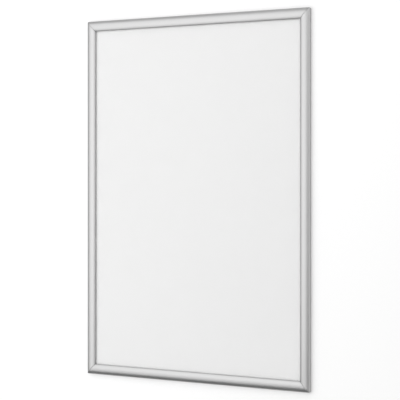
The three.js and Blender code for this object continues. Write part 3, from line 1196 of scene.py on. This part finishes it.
@dataclass(frozen=True)
class BaseRail:
    """One extruded rail on the wall: hinge bead, spring groove, bracket channel and panel slot."""

    run: Run
    hinge: Hinge
    inset: float = 1.6
    floor: float = 1.2
    neck: float = 1.2
    upstand: float = 1.2
    channel: float = 7.7
    channel_mouth: float = 4.4
    channel_back: float = 3.7
    channel_front: float = 4.6
    inner_wall: float = 1.2
    wall_front: float = 6.7
    slot_front: float = 4.6
    strip_front: float = 5.8
    strip_width: float = 5.0
    ledge: float = 3.0
    hole_radius: float = 2.6
    hole_from_corner: float = 205.0
    hole_points: int = 32
    groove_points: int = 36
    bore_points: int = 30
    bead_points: int = 40
    softening: float = 0.15
    softening_points: int = 3
    least_floor: float = 2.0
    level_margin: float = 0.01

    @property
    def neck_inner(self) -> float:
        """Inner face of the wall that carries the bead."""
        return self.inset + self.neck

    @property
    def upstand_outer(self) -> float:
        """Outer face of the wall that carries the spring groove."""
        return self.hinge.seat[0] - self.upstand / 2

    def outline(self) -> Points:
        """Outline of the whole section, from the outer foot along the wall and back over the front.

        Returns:
            A closed outline with softened corners, clockwise.
        """
        hinge, floor = self.hinge, self.floor
        outer = self.upstand_outer
        inner = outer + self.upstand
        wall = inner + self.channel
        wall_inner = wall + self.inner_wall
        side = (self.channel - self.channel_mouth) / 2
        seat_u, seat_z = hinge.seat
        start, end = hinge.seat_gap
        foot_angle = 360.0 - math.degrees(math.acos((inner - seat_u) / hinge.seat_radius))
        top = seat_z - (hinge.seat_bore + hinge.seat_radius) / 2
        shoulder = (top - seat_z) / math.sin(math.radians(start))
        bead_start = -math.degrees(math.acos((self.neck_inner - hinge.u) / hinge.bead))
        bead_end = 360.0 - math.degrees(math.acos((self.inset - hinge.u) / hinge.bead))
        radius, bore = hinge.seat_radius, hinge.seat_bore
        corners = np.vstack(
            [
                [[self.inset, 0.0], [self.neck_inner, 0.0], [outer, 0.0]],
                [[wall_inner + self.strip_width + self.ledge, 0.0]],
                [[wall_inner + self.strip_width + self.ledge, floor], [wall_inner, floor]],
                [[wall_inner, self.slot_front], [wall_inner + self.strip_width, self.slot_front]],
                [[wall_inner + self.strip_width, self.strip_front], [wall_inner, self.strip_front]],
                [[wall_inner, self.wall_front], [wall, self.wall_front]],
                [[wall, self.channel_front], [wall - side, self.channel_front]],
                [[wall - side, self.channel_back], [wall, self.channel_back], [wall, floor]],
                [[inner, floor], [inner, self.channel_back], [inner + side, self.channel_back]],
                [[inner + side, self.channel_front], [inner, self.channel_front]],
                arc(hinge.seat, (radius, radius), foot_angle, end, self.groove_points),
                arc(hinge.seat, (bore, bore), end, start, self.bore_points),
                polar(hinge.seat, shoulder, start),
                [[outer, top], [outer, floor], [self.neck_inner, floor]],
                arc(hinge.place, (hinge.bead, hinge.bead), bead_start, bead_end, self.bead_points),
            ]
        )
        return clockwise(soften(corners, self.softening, steps=self.softening_points))

    def floor_faces(self, outline: Points) -> tuple[int, int]:
        """Find the outline's two long edges along the floor between neck and upstand.

        Args:
            outline: The rail's section.

        Returns:
            The number of the edge on the wall and of the one on the front.
        """
        ahead = np.roll(outline, -1, axis=0)
        u, z = ((outline + ahead) / 2).T
        long = np.linalg.norm(ahead - outline, axis=1) > self.least_floor
        between = (u > self.neck_inner) & (u < self.upstand_outer) & long
        back = np.flatnonzero(between & (z < self.floor / 2))
        front = np.flatnonzero(between & (np.abs(z - self.floor) < self.level_margin))
        return int(back[0]), int(front[0])

    def build(self, finishes: Finishes) -> None:
        """Make the rail with its two wall holes, with its finish, on the frame.

        Args:
            finishes: The frame's finishes.
        """
        outline = self.outline()
        back, front = self.floor_faces(outline)
        ends = self.run.mitred(outline[:, 0])
        reach = self.run.half - self.hole_from_corner
        half = (self.upstand_outer - self.neck_inner) / 2 - self.softening
        even = np.ones(len(outline))
        stops = [-reach - half, -reach + half, reach - half, reach + half]
        rows = np.stack([-ends, *(even * stop for stop in stops), ends])
        # The floor is left out in a square round each hole, where it is made with the hole in it.
        squares = [1, 3]
        left_out = np.zeros((len(rows) - 1, len(outline)), dtype=bool)
        left_out[np.ix_(squares, [back, front])] = True
        surface = carried(outline, rows, left_out)
        for first in squares:
            for edge in (back, front):
                surface = surface.joined(self.plate(outline, rows, first, edge))
            surface = surface.joined(self.hole((rows[first, 0] + rows[first + 1, 0]) / 2))
        word = self.run.side.word
        rail = build_object(f"mitred_base_rail_{word}", self.run.settled(surface))
        put(rail, finishes.mill, "frame", f"base_rail_{word}")

    def circle(self, middle: float, height: float) -> Points:
        """Rim of a wall hole: points round a circle, starting at 45 degrees.

        Args:
            middle: Place of the hole along the rail.
            height: Height of the rim over the wall.

        Returns:
            Rows of X, Y and Z.
        """
        angle = np.radians(45.0 + np.arange(self.hole_points) * 360.0 / self.hole_points)
        across = (self.neck_inner + self.upstand_outer) / 2
        x = middle + self.hole_radius * np.cos(angle)
        u = across + self.hole_radius * np.sin(angle)
        return np.column_stack([x, np.full_like(x, -height), u])

    def plate(self, outline: Points, rows: Points, first: int, edge: int) -> Surface:
        """Four faces between a square part of the floor and the rim of the hole in it.

        Args:
            outline: The rail's section.
            rows: The stations of the rail.
            first: Station where the square starts.
            edge: Outline edge that the square lies on.

        Returns:
            The four faces, pointing as the edge's wall would.
        """
        after = (edge + 1) % len(outline)
        (u0, height), (u1, _) = outline[edge], outline[after]
        x0, x1 = rows[first, edge], rows[first + 1, edge]
        low, high = min(u0, u1), max(u0, u1)
        square = [[x, -height, u] for x, u in ((x1, high), (x0, high), (x0, low), (x1, low))]
        rim = self.circle((x0 + x1) / 2, height)
        vertices = np.vstack([square, rim])
        quarter = self.hole_points // 4
        falling = np.arange(quarter, -1, -1)
        rims = [4 + (k * quarter + falling) % self.hole_points for k in range(4)]
        faces = [[k, (k + 1) % 4, *rims[k].tolist()] for k in range(4)]
        if u0 < u1:
            faces = [face[::-1] for face in faces]
        corners = vertices[np.concatenate(faces)]
        return Surface(vertices, faces, corners[:, [0, 2]] * MM)

    def hole(self, middle: float) -> Surface:
        """Wall of a hole through the floor, between its two rims.

        Args:
            middle: Place of the hole along the rail.

        Returns:
            A ring of quads.
        """
        count = self.hole_points
        vertices = np.vstack([self.circle(middle, 0.0), self.circle(middle, self.floor)])
        here = np.arange(count)
        ahead = np.roll(here, -1)
        faces = np.column_stack([here, ahead, ahead + count, here + count])
        return Surface(vertices, faces.tolist(), vertices[faces.ravel()][:, [0, 1]] * MM)


@dataclass(frozen=True)
class RolledSpring:
    """Steel strip with two rolled ends, pushed between the base rail and the heel of a snap rail."""

    run: Run
    hinge: Hinge
    thickness: float = 0.4
    bow: float = 0.35
    roll: float = 0.5
    roll_turn: float = 300.0
    roll_start: float = 35.0
    roll_clearance: float = 2.4
    roll_points: int = 26
    strip_points: int = 24

    def outline(self) -> Points:
        """Section of the spring: a bowed strip whose ends run round into rolls.

        The strip's middle is the straight line between the seats plus the bow times 1 - t^2, t from -1 to 1.

        Returns:
            A closed outline, clockwise.
        """
        heel, seat = np.array(self.hinge.heel), np.array(self.hinge.seat)
        chord = seat - heel
        length = float(np.linalg.norm(chord))
        aside = np.array([chord[1], -chord[0]]) / length
        clear = self.roll_clearance * self.roll / length
        t = np.linspace(-1.0 + 2 * clear, 1.0 - 2 * clear, self.strip_points)[:, None]
        strip = heel + chord * (t + 1) / 2 + aside * self.bow * (1 - t**2)
        slope = math.degrees(math.atan2(chord[1], chord[0]))
        bend = math.degrees(math.atan(4 * self.bow / length))
        at_heel = slope - bend + self.roll_start
        at_seat = slope + 180.0 + bend + self.roll_start
        radii, count = (self.roll, self.roll), self.roll_points
        path = np.vstack(
            [
                arc(self.hinge.heel, radii, at_heel + self.roll_turn, at_heel, count),
                strip,
                arc(self.hinge.seat, radii, at_seat, at_seat + self.roll_turn, count),
            ]
        )
        return clockwise(thick_line(path, self.thickness))

    def build(self, node: str, finishes: Finishes) -> None:
        """Make one spring in the place of its solid, with its finish, on the springs' body.

        Args:
            node: The solid's name, which gives the spring's place along the rail.
            finishes: The frame's finishes.
        """
        low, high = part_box(node)
        sign = -1.0 if self.run.side in (Side.TOP, Side.LEFT) else 1.0
        ends = (low.z, high.z) if self.run.side.upright else (low.x, high.x)
        first, last = sorted(sign * end / MM for end in ends)
        outline = self.outline()
        even = np.ones(len(outline))
        surface = self.run.settled(carried(outline, np.stack([even * first, even * last])))
        spring = build_object(node.replace("snap_spring", "rolled_spring"), surface)
        put(spring, finishes.spring_steel, f"snap_springs_{self.run.side.word}", node)


@dataclass(frozen=True)
class SetScrew:
    """Threaded pin with a hexagon socket, which jacks a corner bracket tight in its channel."""

    radius: float = 2.0
    length: float = 3.6
    chamfer: float = 0.4
    pitch: float = 0.7
    thread: float = 0.28
    cup: float = 0.9
    hexagon: float = 1.15
    socket: float = 1.6
    points: int = 72
    thread_rows: int = 44
    smooth_below: float = 40.0

    def surface(self) -> Surface:
        """The screw about its own axis, foot at the origin.

        The thread's radius falls from the crest by its depth times twice the distance, in pitches, from the
        nearest crest of a helix. The socket's radius is the hexagon's apothem over the cosine of the angle
        from the middle of the nearest flat.

        Returns:
            A closed surface with its axis along -Y.
        """
        angle = np.arange(self.points) * 2 * math.pi / self.points
        height = np.linspace(self.chamfer, self.length - self.chamfer, self.thread_rows)
        phase = (height[:, None] / self.pitch - angle[None, :] / (2 * math.pi)) % 1.0
        depth = self.thread * np.abs(2.0 * phase - 1.0)
        run_out = np.clip(np.minimum(height - height[0], height[-1] - height) / (self.pitch / 2), 0.0, 1.0)
        thread = self.radius - depth * run_out[:, None] - self.thread * (1.0 - run_out[:, None])
        even = np.ones(self.points)
        flat = math.radians(60.0)
        hexagon = self.hexagon * math.cos(flat / 2) / np.cos((angle % flat) - flat / 2)
        rim = self.radius - self.chamfer - self.thread / 2
        radius = np.vstack([even * self.cup, even * rim, thread, even * rim, hexagon, hexagon])
        top = [self.length, self.length, self.length - self.socket]
        heights = np.concatenate([[self.chamfer / 2, 0.0], height, top])
        return turned(radius, heights[:, None] * np.ones((1, self.points)), angle)

    def build(self, node: str, finishes: Finishes) -> None:
        """Make one screw in the place of its solid, with its finish, on the frame.

        Args:
            node: The solid's name, which gives the screw's place.
            finishes: The frame's finishes.
        """
        low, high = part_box(node)
        surface = self.surface()
        middle = np.array([(low.x + high.x) / 2, high.y, (low.z + high.z) / 2]) / MM
        surface.vertices = surface.vertices + middle
        screw = build_object(node.replace("bracket_screw", "set_screw"), surface, self.smooth_below)
        put(screw, finishes.zinc, "frame", node)


class Sheets:
    """The back panel, the blank poster, the clear cover and the corner brackets, which keep their solids."""

    def dress(self, finishes: Finishes) -> None:
        """Give each solid its finish.

        Args:
            finishes: The frame's finishes.
        """
        nodes = frame["nodes"]
        chosen = {"back_panel": finishes.board, "poster_sheet": finishes.paper, "cover_sheet": finishes.cover}
        brackets = [name for name in nodes if name.startswith("corner_bracket")]
        chosen.update({name: finishes.zinc for name in brackets})
        for name, material in chosen.items():
            dress(nodes[name], material)
            LOG.info("dressed %s", name)


# Studio


@dataclass(frozen=True)
class Lamp:
    """A soft lamp, unseen by the camera, that points at the middle of the frame. Lengths are metres."""

    name: str
    place: tuple[float, float, float]
    size: tuple[float, float]
    watts: float

    def hang(self) -> None:
        """Make the lamp in its place."""
        data = bpy.data.lights.new(self.name, "AREA")
        data.shape = "RECTANGLE"
        data.size, data.size_y = self.size
        data.energy = self.watts
        lamp = bpy.data.objects.new(self.name, data)
        lamp.location = self.place
        lamp.visible_camera = False
        lamp.rotation_euler = Vector(self.place).to_track_quat("Z", "Y").to_euler()
        bpy.context.scene.collection.objects.link(lamp)


@dataclass(frozen=True)
class Backdrop:
    """A flat, pale surface that is only seen, or mirrored, from its front.

    It faces the side from which its four corners, in metres, run anticlockwise. It is dull and has some light
    of its own, so that it comes out pale and keeps shadows. From behind, and for light on its way to the
    frame, it is clear, so that the back of the frame shows too.
    """

    name: str
    finish: str
    corners: tuple[tuple[float, float, float], ...]
    shade: float
    glow: float
    mirrored: bool

    def material(self) -> bpy.types.Material:
        """Make the finish.

        The camera sees the surface's own light, also through glass. Metal shows it only where the surface is
        marked as mirrored, because the floor's would wash out the dark undersides of the rails.

        Returns:
            The material.
        """
        material, graph, shader = new_material(self.finish)
        graph.tree.nodes.remove(shader)
        path = graph.add("ShaderNodeLightPath").outputs
        direct = graph.calc("MAXIMUM", path["Is Camera Ray"], path["Is Transmission Ray"])
        seen = graph.calc("MAXIMUM", direct, path["Is Glossy Ray"])
        through = graph.calc("GREATER_THAN", path["Transparent Depth"], 0.0)
        hidden = graph.calc("MAXIMUM", graph.add("ShaderNodeNewGeometry").outputs["Backfacing"], through)
        shown = graph.calc("SUBTRACT", seen, hidden, use_clamp=True)
        own = graph.calc("MULTIPLY", seen if self.mirrored else direct, self.glow)
        dull = graph.add("ShaderNodeBsdfDiffuse", {"Color": grey(self.shade)}).outputs[0]
        light = graph.add("ShaderNodeEmission", {"Strength": own}).outputs[0]
        both = graph.add("ShaderNodeAddShader", {0: dull, 1: light}).outputs[0]
        clear = graph.add("ShaderNodeBsdfTransparent").outputs[0]
        mixed = graph.add("ShaderNodeMixShader", {0: shown, 1: clear, 2: both}).outputs[0]
        graph.feed(graph.tree.nodes["Material Output"], {"Surface": mixed})
        return material

    def lay(self) -> None:
        """Make the surface as a plane in the studio, with its finish."""
        mesh = bpy.data.meshes.new(self.name)
        mesh.from_pydata(self.corners, [], [[0, 1, 2, 3]])
        plane = bpy.data.objects.new(self.name, mesh)
        bpy.context.scene.collection.objects.link(plane)
        dress(plane, self.material())


@dataclass(frozen=True)
class SoftRoom:
    """The light round the frame: brightest at the front left, and a little darker below."""

    bright_azimuth: float = -15.0
    glow_edge: float = -0.1
    level: float = 0.53
    glow: float = 0.34
    lowest_share: float = 0.8
    full_from: float = 0.4

    def light(self) -> None:
        """Make the world.

        The strength is a level part plus a broad glow round the bright direction, times a curve over the
        height of the direction. To the camera, also through glass, the room is white.
        """
        world = bpy.data.worlds.new("soft_room")
        bpy.context.scene.world = world
        world.use_nodes = True
        graph = Graph(world.node_tree)
        way = graph.add("ShaderNodeTexCoord").outputs["Generated"]
        bright = math.radians(self.bright_azimuth)
        towards = (-math.sin(bright), -math.cos(bright), 0.0)
        near = graph.add("ShaderNodeVectorMath", {0: way, 1: towards}, operation="DOT_PRODUCT")
        rise = {
            "Value": near.outputs["Value"],
            "From Min": self.glow_edge,
            "To Min": self.level,
            "To Max": self.level + self.glow,
        }
        glow = graph.add("ShaderNodeMapRange", rise, interpolation_type="SMOOTHSTEP").outputs["Result"]
        height = graph.add("ShaderNodeSeparateXYZ", {0: way}).outputs["Z"]
        share = graph.add("ShaderNodeMapRange", {"Value": height, "From Min": -1.0}).outputs["Result"]
        ramp = graph.add("ShaderNodeValToRGB", {"Fac": share})
        ramp.color_ramp.interpolation = "EASE"
        lowest, full = ramp.color_ramp.elements
        lowest.color = grey(self.lowest_share)
        full.position = self.full_from
        room = graph.calc("MULTIPLY", glow, ramp.outputs["Color"])
        path = graph.add("ShaderNodeLightPath").outputs
        direct = graph.calc("MAXIMUM", path["Is Camera Ray"], path["Is Transmission Ray"])
        strength = graph.add("ShaderNodeMix", {"Factor": direct, "A": room, "B": 1.0}, data_type="FLOAT")
        background = graph.tree.nodes["Background"]
        graph.feed(background, {"Color": grey(1.0), "Strength": strength.outputs["Result"]})


@dataclass(frozen=True)
class Studio:
    """Camera, lamps, wall and floor. Lengths are metres."""

    azimuth: float = 31.964
    distance: float = 4.188
    sideways: float = 0.0130
    camera_height: float = 0.073
    focal_pixels: float = 1473.1
    horizon_row: float = 173.07
    picture_pixels: float = 400.0
    sensor_mm: float = 36.0
    half_width: float = 4.0
    wall_place: float = 0.0006
    wall_heights: tuple[float, float] = (-3.0, 4.0)
    floor_height: float = -1.5
    floor_reach: tuple[float, float] = (-6.0, 4.0)
    lamps: tuple[Lamp, ...] = (
        Lamp("key_lamp", place=(-0.88, -1.58, 0.1), size=(2.1, 2.4), watts=13.0),
        Lamp("fill_lamp", place=(0.9, -1.25, 1.7), size=(1.2, 1.2), watts=5.0),
        Lamp("rear_lamp", place=(0.0, 1.6, 0.0), size=(0.7, 1.0), watts=10.0),
    )

    def camera(self) -> None:
        """Stand the camera level, to the right of the frame, with the lens shifted for the picture's crop."""
        angle = math.radians(self.azimuth)
        back = Vector((math.sin(angle), -math.cos(angle), 0.0))
        right = Vector((math.cos(angle), math.sin(angle), 0.0))
        data = bpy.data.cameras.new("camera")
        data.sensor_width = self.sensor_mm
        data.lens = self.sensor_mm * self.focal_pixels / self.picture_pixels
        data.shift_y = (self.horizon_row - self.picture_pixels / 2) / self.picture_pixels
        camera = bpy.data.objects.new("camera", data)
        camera.location = back * self.distance + right * self.sideways + Vector((0, 0, self.camera_height))
        camera.rotation_euler = (math.pi / 2, 0.0, angle)
        bpy.context.scene.collection.objects.link(camera)
        bpy.context.scene.camera = camera

    def backdrops(self) -> list[Backdrop]:
        """The wall behind the frame and the floor below it.

        Returns:
            Both, facing the room.
        """
        x = (-self.half_width, self.half_width, self.half_width, -self.half_width)
        foot, top = self.wall_heights
        near, far = self.floor_reach
        wall = tuple(zip(x, (self.wall_place,) * 4, (foot, foot, top, top)))
        floor = tuple(zip(x, (near, near, far, far), (self.floor_height,) * 4))
        return [
            Backdrop("wall", "white_wall", wall, shade=0.82, glow=0.2, mirrored=True),
            Backdrop("floor", "pale_floor", floor, shade=0.17, glow=0.55, mirrored=False),
        ]

    def build(self) -> None:
        """Set up the whole studio."""
        bpy.context.scene.view_settings.view_transform = "Standard"
        self.camera()
        SoftRoom().light()
        for lamp in self.lamps:
            lamp.hang()
        for backdrop in self.backdrops():
            backdrop.lay()


def main() -> None:
    """Build the studio, the finishes and the pieces, in that order."""
    logging.basicConfig(level=logging.INFO, format="%(name)s: %(message)s")
    Studio().build()
    finishes = Finishes()
    outside = Outside.measured()
    hinge = Hinge.measured(outside)
    low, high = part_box("snap_rail_bottom")
    nodes = list(frame["nodes"])
    for side in Side:
        run = Run(side, outside)
        rail = SnapRail(run, hinge, face=(high.z - low.z) / MM, depth=-low.y / MM)
        rail.build(finishes)
        LipStrip(rail).build(finishes)
        BaseRail(run, hinge).build(finishes)
        for node in nodes:
            if node.startswith(f"snap_spring_{side.word}"):
                RolledSpring(run, hinge).build(node, finishes)
    for node in nodes:
        if node.startswith("bracket_screw"):
            SetScrew().build(node, finishes)
    Sheets().dress(finishes)


if __name__ == "__main__":
    main()
